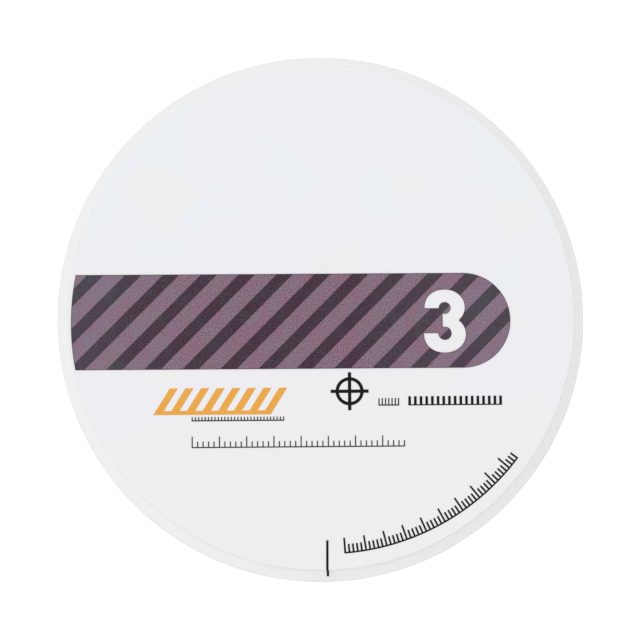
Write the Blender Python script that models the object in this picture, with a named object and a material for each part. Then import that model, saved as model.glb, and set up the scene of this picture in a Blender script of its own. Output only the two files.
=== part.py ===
"""Dental milling blank: one turned ceramic disc with a stepped rim and marks printed on its upper face.

Run it with blender --background --python part.py, or from Blender's text editor. Lengths are in
metres and +Z is up. The origin is the centre of the lower face, and the print reads with +Y upwards.
"""

import math

import bmesh
import bpy

MM = 0.001

# Blank: a holder clamps the flange on its ledges, and a round face stands proud of it on either side
FLANGE_DIAMETER = 98.5 * MM
FLANGE_THICKNESS = 10.0 * MM
LEDGE_WIDTH = 2.37 * MM
STEP_HEIGHT = 4.0 * MM
FACE_EDGE_RADIUS = 0.2 * MM
FLANGE_EDGE_RADIUS = 0.3 * MM
STEP_FOOT_RADIUS = 0.3 * MM
TURN_STEPS = 160
CORNER_STEPS = 2

# Ink: every mark is a film that lies on the face, turned a little with the whole print
INK_THICKNESS = 0.04 * MM
PRINT_TILT = math.radians(0.445)
PRINT_MARGIN = 0.5 * MM
ARC_TOLERANCE = 0.006 * MM

# Striped band: its left end is bowed like the face's edge and its right end is half a circle
BAND_HEIGHT = 17.60 * MM
BAND_REACH = 34.99 * MM
BAND_DROP = 1.15 * MM
STRIPE_ANGLE = math.radians(45.04)
STRIPE_PERIOD = 4.954 * MM
STRIPE_WIDTH = 2.125 * MM
STRIPE_SHIFT = -0.207 * MM
KEYLINE_WIDTH = 0.08 * MM

# Numeral: two bowls joined at a waist, left open in the band
NUMERAL_INSET = 12.15 * MM
NUMERAL_DROP = 0.13 * MM
NUMERAL_HEIGHT = 11.70 * MM
UPPER_BOWL_WIDTH = 7.45 * MM
UPPER_BOWL_HEIGHT = 6.58 * MM
LOWER_BOWL_WIDTH = 7.75 * MM
LOWER_BOWL_HEIGHT = 6.80 * MM
BOWL_SQUARENESS = 2.03
BOWL_BACK_SQUARENESS = 2.13
UPPER_COUNTER_DIAMETER = 2.20 * MM
LOWER_COUNTER_DIAMETER = 2.45 * MM
UPPER_COUNTER_DROP = 0.14 * MM
LOWER_COUNTER_RISE = 0.17 * MM
SLOT_INSET = 0.03 * MM
WAIST_EDGE = -0.40 * MM

# Plain marks on the left, in rows that hang one below the other from the band
ACCENT_LEFT = -31.05 * MM
ACCENT_GAP = 3.45 * MM
ACCENT_LENGTH = 21.6 * MM
ACCENT_HEIGHT = 4.9 * MM
ACCENT_RULE = 0.75 * MM
ACCENT_BAR_WIDTH = 1.5 * MM
ACCENT_BARS = 8
ACCENT_LEAN = math.radians(32.0)

ROWS_LEFT = -24.0 * MM
FINE_TICKS_GAP = 0.4 * MM
FINE_TICKS_LENGTH = 17.2 * MM
FINE_TICKS_HEIGHT = 0.8 * MM
RULER_GAP = 2.8 * MM
RULER_LENGTH = 39.0 * MM
RULER_HEIGHT = 2.1 * MM
RULER_SHORT_TICK = 1.2 * MM

# Plain marks on the right, one after the other
TARGET_X = 5.1 * MM
TARGET_GAP = 0.7 * MM
TARGET_DIAMETER = 5.2 * MM
TARGET_STROKE = 0.62 * MM
TARGET_ARM = 0.9 * MM
BASELINE_DROP = 6.9 * MM
SHORT_TICKS_GAP = 1.8 * MM
SHORT_TICKS_LENGTH = 4.0 * MM
SHORT_TICKS_HEIGHT = 1.4 * MM
BOLD_BARS_GAP = 1.5 * MM
BOLD_BARS_LENGTH = 17.8 * MM
BOLD_BARS_HEIGHT = 1.7 * MM
BOLD_BAR_WIDTH = 0.5 * MM

HAIRLINE = 0.22 * MM
FINE_PITCH = 0.6 * MM
RULER_PITCH = 1.0 * MM
BOLD_PITCH = 1.05 * MM
LONG_TICK_EVERY = 5

# Arc scale along the lower right of the face
SCALE_INSET = 1.7 * MM
SCALE_CENTRE = (0.82 * MM, 0.53 * MM)
SCALE_BASE = 0.30 * MM
SCALE_LONG_TICK = 2.9 * MM
SCALE_SHORT_TICK = 1.7 * MM
SCALE_TICK_WIDTH = 0.36 * MM
SCALE_START = math.radians(-86.06)
SCALE_DIVISION = math.radians(1.0)
SCALE_DIVISIONS = 48

# Index line: it runs off the face, down the step and onto the flange
INDEX_WIDTH = 0.44 * MM
INDEX_OFFSET = 1.10 * MM
INDEX_JOG = 0.19 * MM
INDEX_LENGTH = 5.5 * MM
INDEX_FLANGE_MARGIN = 1.05 * MM

THICKNESS = FLANGE_THICKNESS + 2 * STEP_HEIGHT
FLANGE_RADIUS = FLANGE_DIAMETER / 2
FACE_RADIUS = FLANGE_RADIUS - LEDGE_WIDTH
PRINT_RADIUS = FACE_RADIUS - FACE_EDGE_RADIUS - PRINT_MARGIN
BAND_BOTTOM = -BAND_DROP - BAND_HEIGHT / 2
TARGET_REACH = TARGET_DIAMETER / 2 + TARGET_ARM
CUT_DEPTH = 1.0 * MM


def clear_scene():
    """Remove whatever the file holds, so that only the part is left."""
    for obj in list(bpy.data.objects):
        bpy.data.objects.remove(obj, do_unlink=True)


def material(name, srgb, roughness):
    """A plain Principled material from a colour given as screen values."""
    made = bpy.data.materials.new(name)
    made.use_nodes = True
    shader = made.node_tree.nodes["Principled BSDF"]
    linear = [((value / 255 + 0.055) / 1.055) ** 2.4 for value in srgb]
    shader.inputs["Base Color"].default_value = (*linear, 1.0)
    shader.inputs["Roughness"].default_value = roughness
    shader.inputs["Metallic"].default_value = 0.0
    made.diffuse_color = (*linear, 1.0)
    return made


def add_object(name, mesh, surface=None, parent=None):
    """Put a mesh in the scene. Without a material it is a helper, which isn't rendered."""
    obj = bpy.data.objects.new(name, mesh)
    bpy.context.scene.collection.objects.link(obj)
    obj.parent = parent
    if surface:
        mesh.materials.append(surface)
    else:
        obj.hide_render = True
        obj.display_type = "WIRE"
    return obj


def combine(obj, operation, other):
    """Add a Boolean modifier that joins, cuts or keeps what another object covers."""
    modifier = obj.modifiers.new(f"{operation.lower()} {other.name}", "BOOLEAN")
    modifier.operation = operation
    modifier.solver = "EXACT"
    modifier.object = other
    return obj


def prism(name, outlines, bottom, top, surface=None, parent=None):
    """Flat outlines, each a list of (x, y), drawn straight up from bottom to top."""
    shape = bmesh.new()
    for outline in outlines:
        corners = [shape.verts.new((x, y, bottom)) for x, y in outline]
        floor = shape.faces.new(corners)
        raised = bmesh.ops.extrude_face_region(shape, geom=[floor])
        roof = [item for item in raised["geom"] if isinstance(item, bmesh.types.BMVert)]
        bmesh.ops.translate(shape, vec=(0, 0, top - bottom), verts=roof)
    bmesh.ops.recalc_face_normals(shape, faces=shape.faces)
    mesh = bpy.data.meshes.new(name)
    shape.to_mesh(mesh)
    shape.free()
    return add_object(name, mesh, surface, parent)


def film(name, outlines, surface, parent, layer=0):
    """A printed mark: a prism one ink film thick, on the face or on the film below it."""
    bottom = layer * INK_THICKNESS
    return prism(name, outlines, bottom, bottom + INK_THICKNESS, surface, parent)


def cutter(name, outlines, parent):
    """A helper prism that reaches through every film."""
    return prism(name, outlines, -CUT_DEPTH, CUT_DEPTH, parent=parent)


def arc_steps(radius, sweep=math.tau):
    """How many straight steps keep an arc within its tolerance."""
    return max(1, math.ceil(abs(sweep) / (2 * math.acos(1 - ARC_TOLERANCE / radius))))


def arc(centre, radius, start, end):
    """Points along an arc, both ends included."""
    steps = arc_steps(radius, end - start)
    turns = [start + (end - start) * step / steps for step in range(steps + 1)]
    return [(centre[0] + radius * math.cos(turn), centre[1] + radius * math.sin(turn)) for turn in turns]


def circle(centre, radius):
    """The outline of a full circle."""
    return arc(centre, radius, 0, math.tau)[:-1]


def rectangle(left, bottom, right, top):
    """The outline of an upright rectangle."""
    return [(left, bottom), (right, bottom), (right, top), (left, top)]


def rounded_corner(before, corner, after, radius):
    """Points that round one corner of a profile with an arc that touches both of its sides."""
    sides = [math.dist(corner, before), math.dist(corner, after)]
    ways = [
        ((end[0] - corner[0]) / side, (end[1] - corner[1]) / side)
        for end, side in zip((before, after), sides)
    ]
    opening = math.acos(ways[0][0] * ways[1][0] + ways[0][1] * ways[1][1])
    middle = (ways[0][0] + ways[1][0], ways[0][1] + ways[1][1])
    reach = radius / math.sin(opening / 2) / math.hypot(*middle)
    centre = (corner[0] + middle[0] * reach, corner[1] + middle[1] * reach)
    tangent = radius / math.tan(opening / 2)
    ends = [(corner[0] + way[0] * tangent, corner[1] + way[1] * tangent) for way in ways]
    angles = [math.atan2(end[1] - centre[1], end[0] - centre[0]) for end in ends]
    sweep = math.remainder(angles[1] - angles[0], math.tau)
    turns = [angles[0] + sweep * step / CORNER_STEPS for step in range(CORNER_STEPS + 1)]
    return [(centre[0] + radius * math.cos(turn), centre[1] + radius * math.sin(turn)) for turn in turns]


def blank_profile(grow=0.0):
    """Half the blank's section as (radius, height) down its outer side, every surface moved out by grow."""
    face, flange = FACE_RADIUS + grow, FLANGE_RADIUS + grow
    top, bottom = THICKNESS + grow, -grow
    upper, lower = THICKNESS - STEP_HEIGHT + grow, STEP_HEIGHT - grow
    edge, rim, foot = FACE_EDGE_RADIUS + grow, FLANGE_EDGE_RADIUS + grow, STEP_FOOT_RADIUS - grow
    corners = [
        (face, top, edge),
        (face, upper, foot),
        (flange, upper, rim),
        (flange, lower, rim),
        (face, lower, foot),
        (face, bottom, edge),
    ]
    path = [(0.0, top), *[corner[:2] for corner in corners], (0.0, bottom)]
    points = [path[0]]
    for place, (radius, height, rounding) in enumerate(corners, start=1):
        points += rounded_corner(path[place - 1], (radius, height), path[place + 1], rounding)
    return points + [path[-1]]


def turned(name, profile, surface=None):
    """A profile turned about Z into a closed body."""
    mesh = bpy.data.meshes.new(name)
    links = [(place, place + 1) for place in range(len(profile) - 1)]
    mesh.from_pydata([(radius, 0.0, height) for radius, height in profile], links, [])
    obj = add_object(name, mesh, surface)
    screw = obj.modifiers.new("turn", "SCREW")
    screw.axis = "Z"
    screw.angle = math.tau
    screw.steps = TURN_STEPS
    screw.render_steps = TURN_STEPS
    screw.use_merge_vertices = True
    screw.merge_threshold = 1e-6
    screw.use_smooth_shade = True
    return obj


def smooth(obj, angle):
    """Shade the finished body smooth up to an angle between faces."""
    graph = bpy.context.evaluated_depsgraph_get()
    mesh = bpy.data.meshes.new_from_object(obj.evaluated_get(graph))
    obj.modifiers.clear()
    obj.data = mesh
    mesh.shade_smooth()
    mesh.set_sharp_from_angle(angle=angle)
    return obj


def band_outline(inset=0.0):
    """The band's edge, moved in by an inset: straight sides, a round end and a gently bowed one."""
    half = BAND_HEIGHT / 2 - inset
    bow = PRINT_RADIUS - inset
    lean = math.asin(half / bow)
    left_end = arc((0, -BAND_DROP), bow, math.pi - lean, math.pi + lean)
    end_centre = (BAND_REACH - BAND_HEIGHT / 2, -BAND_DROP)
    return arc(end_centre, half, -math.pi / 2, math.pi / 2) + left_end


def stripe_gaps():
    """Slanted bars that cover the light gaps between the band's dark stripes."""
    along = (math.cos(STRIPE_ANGLE), math.sin(STRIPE_ANGLE))
    across = (math.sin(STRIPE_ANGLE), -math.cos(STRIPE_ANGLE))
    reach = PRINT_RADIUS + STRIPE_PERIOD
    count = math.ceil(reach / STRIPE_PERIOD)
    bars = []
    for stripe in range(-count, count):
        start = STRIPE_SHIFT + stripe * STRIPE_PERIOD + STRIPE_WIDTH / 2
        end = start + STRIPE_PERIOD - STRIPE_WIDTH
        ends = [(-reach, start), (reach, start), (reach, end), (-reach, end)]
        bars.append(
            [(run * along[0] + side * across[0], run * along[1] + side * across[1]) for run, side in ends]
        )
    return bars


def bowl(centre, width, height):
    """The numeral's bowl, an oval that is squarer at its back than on the right: two half superellipses."""
    steps = arc_steps(max(width, height) / 2)
    points = []
    for step in range(steps):
        turn = math.tau * step / steps
        across, up = math.cos(turn), math.sin(turn)
        power = 2 / (BOWL_SQUARENESS if across > 0 else BOWL_BACK_SQUARENESS)
        x = centre[0] + math.copysign(abs(across) ** power, across) * width / 2
        y = centre[1] + math.copysign(abs(up) ** power, up) * height / 2
        points.append((x, y))
    return points


def numeral(name, parent, grow=0.0):
    """The figure 3 as a cutter, its outline moved out by grow."""
    x = BAND_REACH - NUMERAL_INSET
    y = -BAND_DROP - NUMERAL_DROP
    top, bottom = y + NUMERAL_HEIGHT / 2, y - NUMERAL_HEIGHT / 2
    upper, lower = top - UPPER_BOWL_HEIGHT / 2, bottom + LOWER_BOWL_HEIGHT / 2
    wide = max(UPPER_BOWL_WIDTH, LOWER_BOWL_WIDTH)
    upper_counter = upper - UPPER_COUNTER_DROP
    lower_counter = lower + LOWER_COUNTER_RISE
    upper_bowl = bowl((x, upper), UPPER_BOWL_WIDTH + 2 * grow, UPPER_BOWL_HEIGHT + 2 * grow)
    figure = cutter(name, [upper_bowl], parent)
    lower_bowl = bowl((x, lower), LOWER_BOWL_WIDTH + 2 * grow, LOWER_BOWL_HEIGHT + 2 * grow)
    combine(figure, "UNION", cutter(f"{name}_lower_bowl", [lower_bowl], parent))
    slot = rectangle(
        x - wide,
        lower_counter + SLOT_INSET + grow,
        x + WAIST_EDGE - grow,
        upper_counter - SLOT_INSET - grow,
    )
    openings = {
        "slot": slot,
        "upper_counter": circle((x, upper_counter), UPPER_COUNTER_DIAMETER / 2 - grow),
        "lower_counter": circle((x, lower_counter), LOWER_COUNTER_DIAMETER / 2 - grow),
    }
    for opening, outline in openings.items():
        tool = prism(f"{name}_{opening}", [outline], -2 * CUT_DEPTH, 2 * CUT_DEPTH, parent=parent)
        combine(figure, "DIFFERENCE", tool)
    return figure


def add_band(parent, inks):
    """The light band, the dark stripes with their fine keyline on it, and the numeral left open in both."""
    figure = numeral("numeral", parent)
    light = film("band_ground", [band_outline()], inks["mauve"], parent)
    combine(light, "DIFFERENCE", figure)
    gaps = cutter("stripe_gaps", stripe_gaps(), parent)
    combine(gaps, "INTERSECT", cutter("band_inside", [band_outline(KEYLINE_WIDTH)], parent))
    combine(gaps, "DIFFERENCE", numeral("numeral_keyline", parent, KEYLINE_WIDTH))
    dark = film("band_stripes", [band_outline()], inks["plum"], parent, layer=1)
    combine(dark, "DIFFERENCE", gaps)
    combine(dark, "DIFFERENCE", figure)


def comb(stations, base, place=lambda along, up: (along, up)):
    """The outline of a rule with ticks on it.

    Each station is (start, end, height) along the rule, in order. place puts a point of the comb on
    the face.
    """
    lower = []
    upper = []
    for start, end, height in stations:
        lower += [(start, 0.0), (end, 0.0)]
        upper += [(start, base), (start, height), (end, height), (end, base)]
    points = lower + upper[::-1]
    following = points[1:] + points[:1]
    kept = [point for point, after in zip(points, following) if math.dist(point, after) > 1e-9]
    return [place(*point) for point in kept]


def ticks(length, pitch, width, height, short=None, every=1):
    """Stations of evenly spaced ticks over a length, with every so many of them at full height."""
    count = round((length - width) / pitch)
    return [
        (step * pitch, step * pitch + width, height if short is None or step % every == 0 else short)
        for step in range(count + 1)
    ]


def shifted(corner, lean=0.0):
    """A placing function that moves a comb to its corner and leans its ticks."""
    return lambda along, up: (corner[0] + along + up * math.tan(lean), corner[1] + up)


def add_left_marks(parent, inks):
    """Slanted bars, a row of fine ticks close below them and a ruler further down."""
    pitch = (ACCENT_LENGTH - ACCENT_BAR_WIDTH) / (ACCENT_BARS - 1)
    bars = ticks(ACCENT_LENGTH, pitch, ACCENT_BAR_WIDTH, ACCENT_HEIGHT)
    base = BAND_BOTTOM - ACCENT_GAP - ACCENT_HEIGHT
    outline = comb(bars, ACCENT_RULE, shifted((ACCENT_LEFT, base), ACCENT_LEAN))
    film("accent_bars", [outline], inks["amber"], parent)

    fine = ticks(FINE_TICKS_LENGTH, FINE_PITCH, HAIRLINE, FINE_TICKS_HEIGHT)
    base -= FINE_TICKS_GAP + FINE_TICKS_HEIGHT
    film("fine_ticks", [comb(fine, HAIRLINE, shifted((ROWS_LEFT, base)))], inks["grey"], parent)

    ruler = ticks(RULER_LENGTH, RULER_PITCH, HAIRLINE, RULER_HEIGHT, RULER_SHORT_TICK, LONG_TICK_EVERY)
    base -= RULER_GAP + RULER_HEIGHT
    film("ruler", [comb(ruler, HAIRLINE, shifted((ROWS_LEFT, base)))], inks["grey"], parent)


def add_right_marks(parent, inks):
    """Short thin ticks and then bold bars, on one base line to the right of the target."""
    base = BAND_BOTTOM - BASELINE_DROP
    left = TARGET_X + TARGET_REACH + SHORT_TICKS_GAP
    short = ticks(SHORT_TICKS_LENGTH, FINE_PITCH, HAIRLINE, SHORT_TICKS_HEIGHT)
    film("short_ticks", [comb(short, HAIRLINE, shifted((left, base)))], inks["black"], parent)

    left += SHORT_TICKS_LENGTH + BOLD_BARS_GAP
    bold = ticks(BOLD_BARS_LENGTH, BOLD_PITCH, BOLD_BAR_WIDTH, BOLD_BARS_HEIGHT)
    film("bold_bars", [comb(bold, HAIRLINE, shifted((left, base)))], inks["black"], parent)


def add_target(parent, inks):
    """A ring with a cross through it, just below the band."""
    x, y = TARGET_X, BAND_BOTTOM - TARGET_GAP - TARGET_REACH
    outer = TARGET_DIAMETER / 2
    half = TARGET_STROKE / 2
    ring = film("target", [circle((x, y), outer)], inks["black"], parent)
    combine(ring, "DIFFERENCE", cutter("target_inside", [circle((x, y), outer - TARGET_STROKE)], parent))
    arms = {
        "level": rectangle(x - TARGET_REACH, y - half, x + TARGET_REACH, y + half),
        "plumb": rectangle(x - half, y - TARGET_REACH, x + half, y + TARGET_REACH),
    }
    for arm, outline in arms.items():
        combine(ring, "UNION", prism(f"target_{arm}", [outline], 0.0, INK_THICKNESS, parent=parent))


def add_arc_scale(parent, inks):
    """A scale along an arc near the face's rim, its ticks pointing inwards."""
    base_radius = PRINT_RADIUS - SCALE_INSET
    width = SCALE_TICK_WIDTH / base_radius
    long_tick, short_tick = SCALE_LONG_TICK, SCALE_SHORT_TICK
    arc_length = SCALE_DIVISIONS * SCALE_DIVISION + width
    marks = ticks(arc_length, SCALE_DIVISION, width, long_tick, short_tick, LONG_TICK_EVERY)

    def place(along, up):
        radius, turn = base_radius - up, SCALE_START + along
        return (SCALE_CENTRE[0] + radius * math.cos(turn), SCALE_CENTRE[1] + radius * math.sin(turn))

    film("arc_scale", [comb(marks, SCALE_BASE, place)], inks["black"], parent)


def add_index_line(blank, inks):
    """A fine line over the face's edge, down the step and onto the flange, with a jog at the step."""
    half = INDEX_WIDTH / 2
    floor, roof = THICKNESS - STEP_HEIGHT - CUT_DEPTH, THICKNESS + CUT_DEPTH
    foot = INDEX_OFFSET + INDEX_JOG
    start = -FACE_RADIUS + INDEX_LENGTH
    step = -FACE_RADIUS
    end = -FLANGE_RADIUS + INDEX_FLANGE_MARGIN
    on_face = rectangle(INDEX_OFFSET - half, step - INK_THICKNESS, INDEX_OFFSET + half, start)
    on_flange = rectangle(foot - half, end, foot + half, step)
    line = prism("index_line", [on_face], floor, roof, inks["black"])
    combine(line, "UNION", prism("index_foot", [on_flange], floor, roof))
    combine(line, "INTERSECT", turned("blank_grown_by_ink", blank_profile(INK_THICKNESS)))
    combine(line, "DIFFERENCE", blank)


def main():
    """Build the blank and then every mark that is printed on it."""
    clear_scene()
    ceramic = material("pressed_ceramic", (238, 237, 240), 0.62)
    inks = {
        "mauve": material("mauve_ink", (137, 114, 130), 0.55),
        "plum": material("plum_ink", (75, 61, 74), 0.55),
        "amber": material("amber_ink", (233, 162, 60), 0.5),
        "black": material("black_ink", (28, 27, 31), 0.5),
        "grey": material("grey_ink", (80, 80, 86), 0.5),
    }
    blank = turned("disc_blank", blank_profile(), ceramic)
    smooth(blank, math.radians(30))
    print_frame = bpy.data.objects.new("print_frame", None)
    bpy.context.scene.collection.objects.link(print_frame)
    print_frame.location.z = THICKNESS
    print_frame.rotation_euler.z = PRINT_TILT
    add_band(print_frame, inks)
    add_left_marks(print_frame, inks)
    add_target(print_frame, inks)
    add_right_marks(print_frame, inks)
    add_arc_scale(print_frame, inks)
    add_index_line(blank, inks)


main()
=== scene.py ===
"""Looks of a dental milling disc: its turned ceramic blank, the print on its face and a plain studio.

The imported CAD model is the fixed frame. The blank is turned again here with finer round edges, and
the printed films keep their CAD meshes and get inks with grain. All sizes are in metres.
"""

from __future__ import annotations

import logging
import math
from dataclasses import dataclass
from enum import Enum
from typing import Any, Mapping, Sequence, Union

import bpy
from mathutils import Matrix, Vector

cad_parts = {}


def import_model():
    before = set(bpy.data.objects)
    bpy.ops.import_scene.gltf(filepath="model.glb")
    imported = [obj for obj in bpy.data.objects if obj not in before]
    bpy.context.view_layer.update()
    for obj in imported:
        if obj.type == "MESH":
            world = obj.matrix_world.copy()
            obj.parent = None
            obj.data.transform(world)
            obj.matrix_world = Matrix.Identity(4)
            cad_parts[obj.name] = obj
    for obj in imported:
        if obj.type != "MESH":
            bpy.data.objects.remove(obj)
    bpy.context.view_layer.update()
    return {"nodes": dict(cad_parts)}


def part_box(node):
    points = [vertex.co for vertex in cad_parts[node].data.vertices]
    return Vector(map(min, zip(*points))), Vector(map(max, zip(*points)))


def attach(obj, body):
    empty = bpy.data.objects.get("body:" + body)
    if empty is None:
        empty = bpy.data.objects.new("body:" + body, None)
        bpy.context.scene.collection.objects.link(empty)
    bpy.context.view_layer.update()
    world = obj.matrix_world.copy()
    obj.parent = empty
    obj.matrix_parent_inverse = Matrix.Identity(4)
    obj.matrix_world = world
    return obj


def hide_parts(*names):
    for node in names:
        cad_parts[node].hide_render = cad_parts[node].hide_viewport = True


LOG = logging.getLogger("milling_disc")
MM = 0.001
BODY = "root"

Colour = tuple[float, float, float, float]
Span = tuple[float, float]
Place = tuple[float, float, float]
Term = Union[float, Sequence[float], "Signal"]

WHITE: Colour = (1.0, 1.0, 1.0, 1.0)


def tone(red: float, green: float, blue: float) -> Colour:
    """A colour as the eye reads it, turned into the linear values that shaders take.

    Args:
        red: Red from 0 to 255.
        green: Green from 0 to 255.
        blue: Blue from 0 to 255.

    Returns:
        The linear colour with full alpha.
    """
    parts = [value / 255.0 for value in (red, green, blue)]
    linear = [p / 12.92 if p <= 0.04045 else ((p + 0.055) / 1.055) ** 2.4 for p in parts]
    return (linear[0], linear[1], linear[2], 1.0)


class Axis(Enum):
    """The coordinates of a point on the disc, by their place in a Separate XYZ node."""

    ACROSS = 0
    UP = 1
    HEIGHT = 2


class Blend(Enum):
    """How two colours are put together."""

    MIX = "MIX"
    MULTIPLY = "MULTIPLY"


class Signal:
    """The output of a node as a number, a colour or a vector in shader maths."""

    def __init__(self, shader: Shader, socket: bpy.types.NodeSocket | None) -> None:
        """Keeps the socket and the shader that it belongs to."""
        self.shader = shader
        self.socket = socket

    def maths(self, operation: str, *terms: Term) -> Signal:
        """Adds a Math node.

        Args:
            operation: The node's operation.
            terms: Its inputs in order, as numbers or signals.

        Returns:
            The node's value.
        """
        return self.shader.node("ShaderNodeMath", {"operation": operation}, dict(enumerate(terms)))

    def __add__(self, other: Term) -> Signal:
        """self + other."""
        return self.maths("ADD", self, other)

    def __radd__(self, other: Term) -> Signal:
        """other + self."""
        return self.maths("ADD", other, self)

    def __sub__(self, other: Term) -> Signal:
        """self - other."""
        return self.maths("SUBTRACT", self, other)

    def __rsub__(self, other: Term) -> Signal:
        """other - self."""
        return self.maths("SUBTRACT", other, self)

    def __mul__(self, other: Term) -> Signal:
        """self * other."""
        return self.maths("MULTIPLY", self, other)

    def __rmul__(self, other: Term) -> Signal:
        """other * self."""
        return self.maths("MULTIPLY", other, self)

    def __truediv__(self, other: Term) -> Signal:
        """self / other."""
        return self.maths("DIVIDE", self, other)

    def __rtruediv__(self, other: Term) -> Signal:
        """other / self."""
        return self.maths("DIVIDE", other, self)

    def root(self) -> Signal:
        """The square root."""
        return self.maths("SQRT", self)

    def swing(self, reach: Term) -> Signal:
        """A pattern from 0 to 1 as a swing about 0 that is reach wide in all."""
        return (self - 0.5) * reach

    def ramp(self, span: Span) -> Signal:
        """Goes smoothly from 0 to 1.

        Args:
            span: The value that gives 0 and the value that gives 1.

        Returns:
            The smooth step, between 0 and 1.
        """
        settings = {"interpolation_type": "SMOOTHSTEP"}
        sockets = {"Value": self, "From Min": span[0], "From Max": span[1]}
        return self.shader.node("ShaderNodeMapRange", settings, sockets)


class Shader:
    """The node tree of one material or of the world."""

    def __init__(self, owner: bpy.types.Material | bpy.types.World) -> None:
        """Empties the owner's node tree and keeps it."""
        owner.use_nodes = True
        self.owner = owner
        self.tree = owner.node_tree
        self.tree.nodes.clear()

    def node(
        self,
        kind: str,
        settings: Mapping[str, Any] | None = None,
        sockets: Mapping[Union[str, int], Term] | None = None,
        output: Union[str, int] = 0,
    ) -> Signal:
        """Adds a node of any kind.

        Args:
            kind: The node's type.
            settings: Its own settings, which are set first.
            sockets: Values or signals for its inputs, by name or place.
            output: The output to give back, by name or place.

        Returns:
            That output as a signal.
        """
        made = self.tree.nodes.new(kind)
        for name, value in (settings or {}).items():
            setattr(made, name, value)
        for name, value in (sockets or {}).items():
            if isinstance(value, Signal):
                self.tree.links.new(value.socket, made.inputs[name])
            else:
                made.inputs[name].default_value = value
        return Signal(self, made.outputs[output] if len(made.outputs) else None)

    def place(self) -> Signal:
        """The point on the object, in metres."""
        return self.node("ShaderNodeTexCoord", output="Object")

    def along(self, axis: Axis) -> Signal:
        """One coordinate of the point on the object."""
        return self.node("ShaderNodeSeparateXYZ", sockets={0: self.place()}, output=axis.value)

    def moved(self, shift: float) -> Signal:
        """The point on the object, moved so that two patterns of one kind don't look alike."""
        sockets = {0: self.place(), 1: (shift, 2 * shift, 3 * shift)}
        return self.node("ShaderNodeVectorMath", {"operation": "ADD"}, sockets)

    def noise(self, grain: float, octaves: float = 1.0, points: Signal | None = None) -> Signal:
        """Soft random tones about 0.5.

        Args:
            grain: The size of one spot.
            octaves: How many finer layers are added.
            points: Where the pattern is looked up, which is the point on the object if left out.

        Returns:
            The noise from 0 to 1.
        """
        looked_up = self.place() if points is None else points
        sockets = {"Vector": looked_up, "Scale": 1.0 / grain, "Detail": octaves}
        return self.node("ShaderNodeTexNoise", {"noise_dimensions": "3D"}, sockets)

    def mix(self, factor: Term, first: Term, second: Term, blend: Blend = Blend.MIX) -> Signal:
        """Puts two colours together.

        Args:
            factor: The share of the second colour.
            first: The colour at factor 0.
            second: The colour at factor 1.
            blend: How they are put together.

        Returns:
            The mixed colour.
        """
        settings = {"data_type": "RGBA", "blend_type": blend.value}
        return self.node("ShaderNodeMix", settings, {0: factor, 6: first, 7: second}, output=2)

    def shaded(self, colour: Signal, shade: Signal) -> Signal:
        """A colour made darker or lighter by a number."""
        return self.mix(1.0, colour, self.grey(shade), Blend.MULTIPLY)

    def grey(self, value: Signal) -> Signal:
        """A number as a grey colour."""
        return self.node("ShaderNodeCombineColor", sockets={0: value, 1: value, 2: value})

    def bump(self, height: Signal, depth: float, strength: float) -> Signal:
        """A fine relief.

        Args:
            height: The relief from 0 to 1.
            depth: Its height in metres.
            strength: Its share, from 0 to 1.

        Returns:
            The bent normal.
        """
        sockets = {"Strength": strength, "Distance": depth, "Height": height}
        return self.node("ShaderNodeBump", sockets=sockets)

    def close(self, surface: Signal) -> None:
        """Links the finished surface to the output."""
        world = isinstance(self.owner, bpy.types.World)
        kind = "ShaderNodeOutputWorld" if world else "ShaderNodeOutputMaterial"
        self.node(kind, sockets={"Surface": surface})


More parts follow.
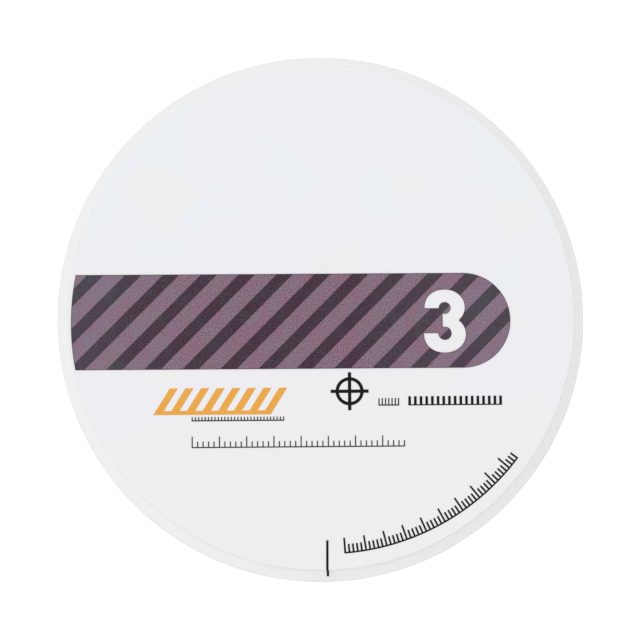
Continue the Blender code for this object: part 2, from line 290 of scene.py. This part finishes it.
@dataclass(frozen=True)
class CeramicFinish:
    """Pressed ceramic powder, chalky and not yet fired, with the fine marks of turning.

    A cool tint covers the upper part of a pressed face: painted light, the cast of cool light from
    above. It comes in over the heights in cool_span, lower down to both sides of cool_middle by the
    square of the distance over cool_bow, and the clouds push that edge about by cloud_reach. It ends
    at the rim, over the radii in rim_span.
    Clouds of a fainter tone lie in it, which crowd together in the upper part away from the middle,
    and bare patches, which thin out towards the top.

    cloud, patch, powder, pore and turning are the sizes of one spot of each pattern. A span holds
    the values from which and to which something comes in, a tone is how far a pattern lightens or
    darkens the ceramic, and relief is the depth of its bumps.
    """

    # Painted light: cool is the tint of cool light from above, painted on the upper part of a face.
    cool: Colour = tone(238.2, 237.1, 242.2)
    faint: Colour = tone(234.9, 238.3, 242.0)
    plain: Colour = tone(238.0, 238.0, 238.2)
    cool_span: Span = (-14.5 * MM, -10 * MM)
    cool_middle: float = 7 * MM
    cool_bow: float = 180 * MM
    rim_span: Span = (45.2 * MM, 47.6 * MM)
    cloud: float = 16 * MM
    cloud_reach: float = 12 * MM
    cloud_span: Span = (0.57, 0.68)
    crowd: float = 0.3
    crowd_up: Span = (8 * MM, 30 * MM)
    crowd_aside: Span = (14 * MM, 32 * MM)
    patch: float = 13 * MM
    patch_apart: float = 89 * MM
    patch_span: Span = (0.58, 0.7)
    patch_loss: float = 0.2
    patch_loss_up: Span = (22 * MM, 42 * MM)
    powder: float = 0.16 * MM
    powder_tone: float = 0.012
    pore: float = 0.34 * MM
    pore_span: Span = (0.74, 0.86)
    pore_tone: float = 0.05
    turning: float = 0.34 * MM
    turning_span: Span = (46.7 * MM, 46.9 * MM)
    turning_tone: float = 0.05
    relief: float = 0.006 * MM
    relief_share: float = 0.35
    roughness: float = 0.78
    roughness_swing: float = 0.1
    gloss: float = 0.12

    def material(self) -> bpy.types.Material:
        """Builds the material.

        Returns:
            Ceramic with its tint, powder grain, pores and turning marks.
        """
        made = bpy.data.materials.new("pressed_ceramic")
        shader = Shader(made)
        across, up = shader.along(Axis.ACROSS), shader.along(Axis.UP)
        reach = (across * across + up * up).root()
        powder = shader.noise(self.powder)
        pores = shader.noise(self.pore, octaves=0.0).ramp(self.pore_span)
        rings = self.rings(shader, reach)
        shade = 1.0 - pores * self.pore_tone + powder.swing(self.powder_tone) + rings * self.turning_tone
        relief = (powder + rings) * 0.5 - pores
        sockets = {
            "Base Color": shader.shaded(self.body(shader, across, up, reach), shade),
            "Roughness": self.roughness + powder.swing(self.roughness_swing),
            "Specular IOR Level": self.gloss,
            "Normal": shader.bump(relief, self.relief, self.relief_share),
        }
        shader.close(shader.node("ShaderNodeBsdfPrincipled", sockets=sockets))
        return made

    def body(self, shader: Shader, across: Signal, up: Signal, reach: Signal) -> Signal:
        """The ceramic's colour without its grain, with a painted cast of cool light on the upper part.

        Args:
            shader: The tree that gets the nodes.
            across: The place from left to right.
            up: The place from the bottom of the print to its top.
            reach: The distance from the disc's axis.

        Returns:
            The plain colour, with the painted cool-light tint, its clouds and its bare patches.
        """
        clouds = shader.noise(self.cloud)
        off = across - self.cool_middle
        height = up + off * off / self.cool_bow + clouds.swing(self.cloud_reach)
        # Painted light: the share of the painted cast of cool light from above, which fades out at the
        # rim.
        tint = height.ramp(self.cool_span) * (1.0 - reach.ramp(self.rim_span))
        inner, outer = self.crowd_aside
        crowd = up.ramp(self.crowd_up) * (across * across).ramp((inner**2, outer**2)) * self.crowd
        cloudy = shader.mix((clouds + crowd).ramp(self.cloud_span), self.cool, self.faint)
        patches = shader.noise(self.patch, points=shader.moved(self.patch_apart))
        bare = (patches - up.ramp(self.patch_loss_up) * self.patch_loss).ramp(self.patch_span)
        return shader.mix(tint * (1.0 - bare), self.plain, cloudy)

    def rings(self, shader: Shader, reach: Signal) -> Signal:
        """The fine lines that a turning tool leaves on the step and the rim.

        Args:
            shader: The tree that gets the nodes.
            reach: The distance from the disc's axis.

        Returns:
            Lines round the axis, from -0.5 to 0.5, and 0 on the pressed faces.
        """
        sockets = {0: reach, 2: shader.along(Axis.HEIGHT)}
        section = shader.node("ShaderNodeCombineXYZ", sockets=sockets)
        lines = shader.noise(self.turning, octaves=2.0, points=section)
        return lines.swing(reach.ramp(self.turning_span))


@dataclass(frozen=True)
class InkFinish:
    """Matt ink printed on the ceramic, with speckle, soft hue patches and a drifting tone.

    The tone drifts from middle to ends to both sides of drift_middle, as the square of the distance
    over drift_reach goes through drift_span. pink and green are what the ink's colour is multiplied
    by where a first set of patches is strongest and weakest, and blue and brown the same for a
    second set. patch and grain are the sizes of one spot, grain_tone is how far the speckle lightens
    and darkens the ink, and grain_fade how much of it is lost at the ends.
    """

    name: str
    middle: Colour
    ends: Colour
    pink: Colour = WHITE
    green: Colour = WHITE
    blue: Colour = WHITE
    brown: Colour = WHITE
    patch: float = 2.8 * MM
    patch_span: Span = (0.3, 0.7)
    patch_apart: float = 37 * MM
    grain: float = 0.22 * MM
    grain_span: Span = (0.2, 0.8)
    grain_tone: float = 0.3
    grain_fade: float = 0.45
    drift_middle: float = -6 * MM
    drift_reach: float = 33 * MM
    drift_span: Span = (0.0, 1.2)
    relief: float = 0.004 * MM
    relief_share: float = 0.3
    roughness: float = 0.7
    roughness_swing: float = 0.2
    gloss: float = 0.1

    def material(self) -> bpy.types.Material:
        """Builds the material.

        Returns:
            Ink with its speckle, patches and drift.
        """
        made = bpy.data.materials.new(self.name)
        shader = Shader(made)
        off = (shader.along(Axis.ACROSS) - self.drift_middle) / self.drift_reach
        drift = (off * off).ramp(self.drift_span)
        colour = shader.mix(drift, self.middle, self.ends)
        sets = ((self.green, self.pink, 0.0), (self.brown, self.blue, self.patch_apart))
        for low, high, shift in sets:
            patches = shader.noise(self.patch, points=shader.moved(shift)).ramp(self.patch_span)
            colour = shader.mix(1.0, colour, shader.mix(patches, low, high), Blend.MULTIPLY)
        speckle = shader.noise(self.grain).ramp(self.grain_span)
        shade = 1.0 + speckle.swing(self.grain_tone) * (1.0 - drift * self.grain_fade)
        sockets = {
            "Base Color": shader.shaded(colour, shade),
            "Roughness": self.roughness + speckle.swing(self.roughness_swing),
            "Specular IOR Level": self.gloss,
            "Normal": shader.bump(speckle, self.relief, self.relief_share),
        }
        shader.close(shader.node("ShaderNodeBsdfPrincipled", sockets=sockets))
        return made


@dataclass(frozen=True)
class Corner:
    """A rounded corner of the blank's section, whose points are (radius, height).

    place is the sharp corner. start and end are the directions from the rounding's centre to its
    first and last point, in degrees. A hollow corner has the ceramic outside its rounding.
    """

    place: Vector
    rounding: float
    start: float
    end: float
    hollow: bool = False

    def points(self, steps: int) -> list[tuple[Vector, Vector]]:
        """Rounds the corner.

        Args:
            steps: The number of straight steps in the rounding.

        Returns:
            Points and outward normals.
        """
        sweep = self.end - self.start
        turns = [math.radians(self.start + sweep * step / steps) for step in range(steps + 1)]
        rays = [Vector((math.cos(turn), math.sin(turn))) for turn in turns]
        centre = self.place - (rays[0] + rays[-1]) * self.rounding
        outward = -1 if self.hollow else 1
        return [(centre + ray * self.rounding, ray * outward) for ray in rays]


@dataclass
class Blank:
    """The pressed blank: a flange with a round face raised on each side of it.

    ledge is how far the flange stands out past a face, and step how far a face stands up from it.
    face_edge, flange_edge and foot are the radii of the rounded corners. inner_rings are the radii
    of the rings of points on a flat face, as shares of the face's radius.
    """

    flange_radius: float
    thickness: float
    ledge: float = 2.37 * MM
    step: float = 4.0 * MM
    face_edge: float = 0.2 * MM
    flange_edge: float = 0.3 * MM
    foot: float = 0.3 * MM
    spokes: int = 512
    corner_steps: int = 8
    inner_rings: tuple[float, ...] = (0.1, 0.3, 0.5, 0.7, 0.9)

    def section(self) -> list[tuple[Vector, Vector]]:
        """Works out half of the section, from the middle of the top down its outer side.

        Returns:
            Points and outward normals, both as (radius, height).
        """
        face, flange = self.flange_radius - self.ledge, self.flange_radius
        upper, lower = self.thickness - self.step, self.step
        corners = [
            Corner(Vector((face, self.thickness)), self.face_edge, 90.0, 0.0),
            Corner(Vector((face, upper)), self.foot, 180.0, 270.0, hollow=True),
            Corner(Vector((flange, upper)), self.flange_edge, 90.0, 0.0),
            Corner(Vector((flange, lower)), self.flange_edge, 0.0, -90.0),
            Corner(Vector((face, lower)), self.foot, 90.0, 180.0, hollow=True),
            Corner(Vector((face, 0.0)), self.face_edge, 0.0, -90.0),
        ]
        up, down = Vector((0.0, 1.0)), Vector((0.0, -1.0))
        inner = [face * share for share in (0.0, *self.inner_rings)]
        points = [(Vector((radius, self.thickness)), up) for radius in inner]
        for corner in corners:
            points += corner.points(self.corner_steps)
        return points + [(Vector((radius, 0.0)), down) for radius in reversed(inner)]

    def build(self, finish: CeramicFinish) -> bpy.types.Object:
        """Turns the section into a closed body and dresses it.

        Args:
            finish: The ceramic.

        Returns:
            The blank, in place of the CAD solid.
        """
        section = self.section()
        rings = section[1:-1]
        points = [(0.0, 0.0, section[0][0].y)]
        normals = [(0.0, 0.0, 1.0)]
        for place, normal in rings:
            for spoke in range(self.spokes):
                turn = math.tau * spoke / self.spokes
                cos, sin = math.cos(turn), math.sin(turn)
                points.append((place.x * cos, place.x * sin, place.y))
                normals.append((normal.x * cos, normal.x * sin, normal.y))
        points.append((0.0, 0.0, section[-1][0].y))
        normals.append((0.0, 0.0, -1.0))
        mesh = bpy.data.meshes.new("blank_body")
        mesh.from_pydata(points, [], self.faces(len(rings)))
        mesh.shade_smooth()
        mesh.normals_split_custom_set_from_vertices(normals)
        mesh.materials.append(finish.material())
        body = bpy.data.objects.new("blank_body", mesh)
        bpy.context.scene.collection.objects.link(body)
        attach(body, BODY)
        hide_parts("disc_blank")
        return body

    def faces(self, rings: int) -> list[tuple[int, ...]]:
        """Lists the faces between the rings and the fans in the middle of both sides.

        Args:
            rings: The number of rings of points.

        Returns:
            Faces as places in the list of points.
        """
        count = self.spokes
        base = 1 + (rings - 1) * count
        last = base + count
        faces: list[tuple[int, ...]] = []
        for here in range(count):
            there = (here + 1) % count
            faces.append((0, 1 + here, 1 + there))
            for ring in range(rings - 1):
                upper, lower = 1 + ring * count, 1 + (ring + 1) * count
                faces.append((upper + here, lower + here, lower + there, upper + there))
            faces.append((last, base + there, base + here))
        return faces


@dataclass
class Print:
    """The films of ink on the upper face, each in its CAD node."""

    nodes: Mapping[str, bpy.types.Object]

    def dress(self, finish: InkFinish, *names: str) -> None:
        """Gives some of the printed films their ink.

        Args:
            finish: The ink.
            names: The CAD nodes that carry it.
        """
        ink = finish.material()
        for name in names:
            film = self.nodes[name]
            film.data.materials.clear()
            film.data.materials.append(ink)
            LOG.info("%s: %s", name, finish.name)


@dataclass(frozen=True)
class SoftLamp:
    """A soft lamp so far away that it lights the whole disc alike.

    share is its part of the light on a level face, spread its width as seen from the disc, turn the
    way it stands round the disc from the right of the print, and rise its height over the floor, all
    three in degrees.
    """

    name: str
    share: float
    spread: float
    turn: float
    rise: float

    def hang(self) -> None:
        """Adds the lamp to the scene."""
        rise, turn = math.radians(self.rise), math.radians(self.turn)
        level = math.cos(rise)
        towards = Vector((math.cos(turn) * level, math.sin(turn) * level, math.sin(rise)))
        lamp = bpy.data.lights.new(self.name, "SUN")
        lamp.energy = self.share * math.pi / math.sin(rise)
        lamp.angle = math.radians(self.spread)
        holder = bpy.data.objects.new(self.name, lamp)
        holder.location = towards
        holder.rotation_mode = "QUATERNION"
        holder.rotation_quaternion = towards.to_track_quat("Z", "Y")
        bpy.context.scene.collection.objects.link(holder)


@dataclass
class Studio:
    """A plain pale floor, soft light that leans to the left, and the camera.

    floor_tone is how pale the floor is for the light that it throws back. seen_tone and seen_glow
    make it white to look at, with the disc's shadow on it. sight is the nearest and the farthest
    distance that the camera shows.
    """

    floor_radius: float = 3.0
    floor_sides: int = 96
    floor_tone: float = 0.8
    seen_tone: float = 0.35
    seen_glow: float = 0.75
    dust: float = 40 * MM
    dust_tone: float = 0.04
    sky: float = 0.62
    lamps: tuple[SoftLamp, ...] = (
        SoftLamp("overhead", share=0.31, spread=20.0, turn=165.0, rise=89.0),
        SoftLamp("side", share=0.067, spread=50.0, turn=168.0, rise=45.0),
    )
    camera_place: Place = (-5.79 * MM, -26.93 * MM, 342.85 * MM)
    camera_aim: Place = (-0.177 * MM, -0.628 * MM, 14.0 * MM)
    lens: float = 99.2
    sensor: float = 36.0
    sight: Span = (0.01, 20.0)

    def seen(self, shader: Shader) -> Signal:
        """Tells what is looked at from what only gives light.

        Args:
            shader: The tree that gets the nodes.

        Returns:
            1 where a ray comes from the camera, a gloss or a clear surface, and 0 elsewhere.
        """
        kinds = ("Camera", "Glossy", "Transmission")
        camera, gloss, clear = [
            shader.node("ShaderNodeLightPath", output=f"Is {kind} Ray") for kind in kinds
        ]
        return camera.maths("MAXIMUM", camera, gloss.maths("MAXIMUM", gloss, clear))

    def build_floor(self) -> None:
        """Lays the floor, which shows as white and keeps the disc's soft shadow."""
        mesh = bpy.data.meshes.new("floor")
        turns = [math.tau * side / self.floor_sides for side in range(self.floor_sides)]
        rim = [(self.floor_radius * math.cos(t), self.floor_radius * math.sin(t), 0.0) for t in turns]
        mesh.from_pydata(rim, [], [tuple(range(self.floor_sides))])
        mesh.materials.append(self.floor_material())
        floor = bpy.data.objects.new("floor", mesh)
        bpy.context.scene.collection.objects.link(floor)

    def floor_material(self) -> bpy.types.Material:
        """Builds the floor's material.

        Returns:
            A dusty matt white, brighter to look at than it is for the light that it throws back.
        """
        made = bpy.data.materials.new("pale_floor")
        shader = Shader(made)
        dust = 1.0 + shader.noise(self.dust, octaves=2.0).swing(self.dust_tone)
        lit, shown = [
            shader.node("ShaderNodeBsdfDiffuse", sockets={"Color": shader.grey(dust * pale)})
            for pale in (self.floor_tone, self.seen_tone)
        ]
        sockets = {"Color": WHITE, "Strength": self.seen_glow}
        glow = shader.node("ShaderNodeEmission", sockets=sockets)
        white = shader.node("ShaderNodeAddShader", sockets={0: shown, 1: glow})
        sockets = {0: self.seen(shader), 1: lit, 2: white}
        shader.close(shader.node("ShaderNodeMixShader", sockets=sockets))
        return made

    def build_light(self) -> None:
        """Sets the even sky and hangs the lamps."""
        world = bpy.data.worlds.new("studio")
        bpy.context.scene.world = world
        shader = Shader(world)
        sky, white = [
            shader.node("ShaderNodeBackground", sockets={"Color": WHITE, "Strength": strength})
            for strength in (self.sky, 1.0)
        ]
        sockets = {0: self.seen(shader), 1: sky, 2: white}
        shader.close(shader.node("ShaderNodeMixShader", sockets=sockets))
        for lamp in self.lamps:
            lamp.hang()
            LOG.info("%s lamp", lamp.name)

    def build_camera(self) -> None:
        """Puts the camera over the disc, with the top of the print upwards."""
        place, aim = Vector(self.camera_place), Vector(self.camera_aim)
        back = (place - aim).normalized()
        right = Vector((0.0, 1.0, 0.0)).cross(back).normalized()
        turn = Matrix((right, back.cross(right), back)).transposed()
        lens = bpy.data.cameras.new("camera")
        lens.lens = self.lens
        lens.sensor_width = self.sensor
        lens.clip_start, lens.clip_end = self.sight
        camera = bpy.data.objects.new("camera", lens)
        camera.matrix_world = Matrix.Translation(place) @ turn.to_4x4()
        bpy.context.scene.collection.objects.link(camera)
        bpy.context.scene.camera = camera


MAUVE = InkFinish(
    name="mauve_print",
    middle=tone(133.5, 107, 124),
    ends=tone(133.5, 112.5, 129.5),
    pink=(1.05, 0.94, 0.975, 1.0),
    green=(0.95, 1.06, 1.025, 1.0),
    blue=(1.0, 1.0, 1.048, 1.0),
    brown=(1.0, 1.0, 0.952, 1.0),
    grain_tone=1.12,
)
PLUM = InkFinish(
    name="plum_print",
    middle=tone(68.5, 52.5, 65.5),
    ends=tone(75.5, 65.5, 76.5),
    pink=(1.035, 0.865, 0.94, 1.0),
    green=(0.965, 1.135, 1.06, 1.0),
    blue=(1.0, 1.0, 1.07, 1.0),
    brown=(1.0, 1.0, 0.93, 1.0),
    grain_tone=1.3,
    drift_middle=-10.5 * MM,
)
AMBER = InkFinish(
    name="amber_print",
    middle=tone(234, 168, 76),
    ends=tone(233, 169, 80),
    pink=(1.01, 0.97, 0.94, 1.0),
    green=(0.99, 1.03, 1.06, 1.0),
    grain_tone=0.12,
)
GREY = InkFinish(
    name="grey_print",
    middle=tone(52, 52, 56),
    ends=tone(56, 56, 60),
    pink=(1.03, 0.98, 1.0, 1.0),
    green=(0.97, 1.02, 1.0, 1.0),
    grain_tone=0.4,
)
BLACK = InkFinish(
    name="black_print",
    middle=tone(18, 17, 22),
    ends=tone(20, 19, 24),
    pink=(1.04, 0.96, 1.0, 1.0),
    green=(0.96, 1.04, 1.0, 1.0),
    grain_tone=0.5,
)


def corners(box: tuple[Vector, Vector]) -> list[list[float]]:
    """Both corners of a box as plain lists."""
    return [list(corner) for corner in box]


def main() -> None:
    """Builds the disc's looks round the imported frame."""
    logging.basicConfig(level=logging.INFO, format="%(name)s %(message)s")
    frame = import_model()
    bpy.context.scene.view_settings.view_transform = "Standard"
    low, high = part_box("disc_blank")
    blank = Blank(flange_radius=(high.x - low.x) / 2, thickness=high.z - low.z)
    body = blank.build(CeramicFinish())
    LOG.info("%s: %d faces", body.name, len(body.data.polygons))
    films = Print(frame["nodes"])
    films.dress(MAUVE, "band_ground")
    films.dress(PLUM, "band_stripes")
    films.dress(AMBER, "accent_bars")
    films.dress(GREY, "fine_ticks", "ruler")
    films.dress(BLACK, "short_ticks", "bold_bars", "target", "arc_scale", "index_line")
    studio = Studio()
    studio.build_floor()
    studio.build_light()
    studio.build_camera()
    LOG.info("studio: floor, sky and camera")


if __name__ == "__main__":
    main()
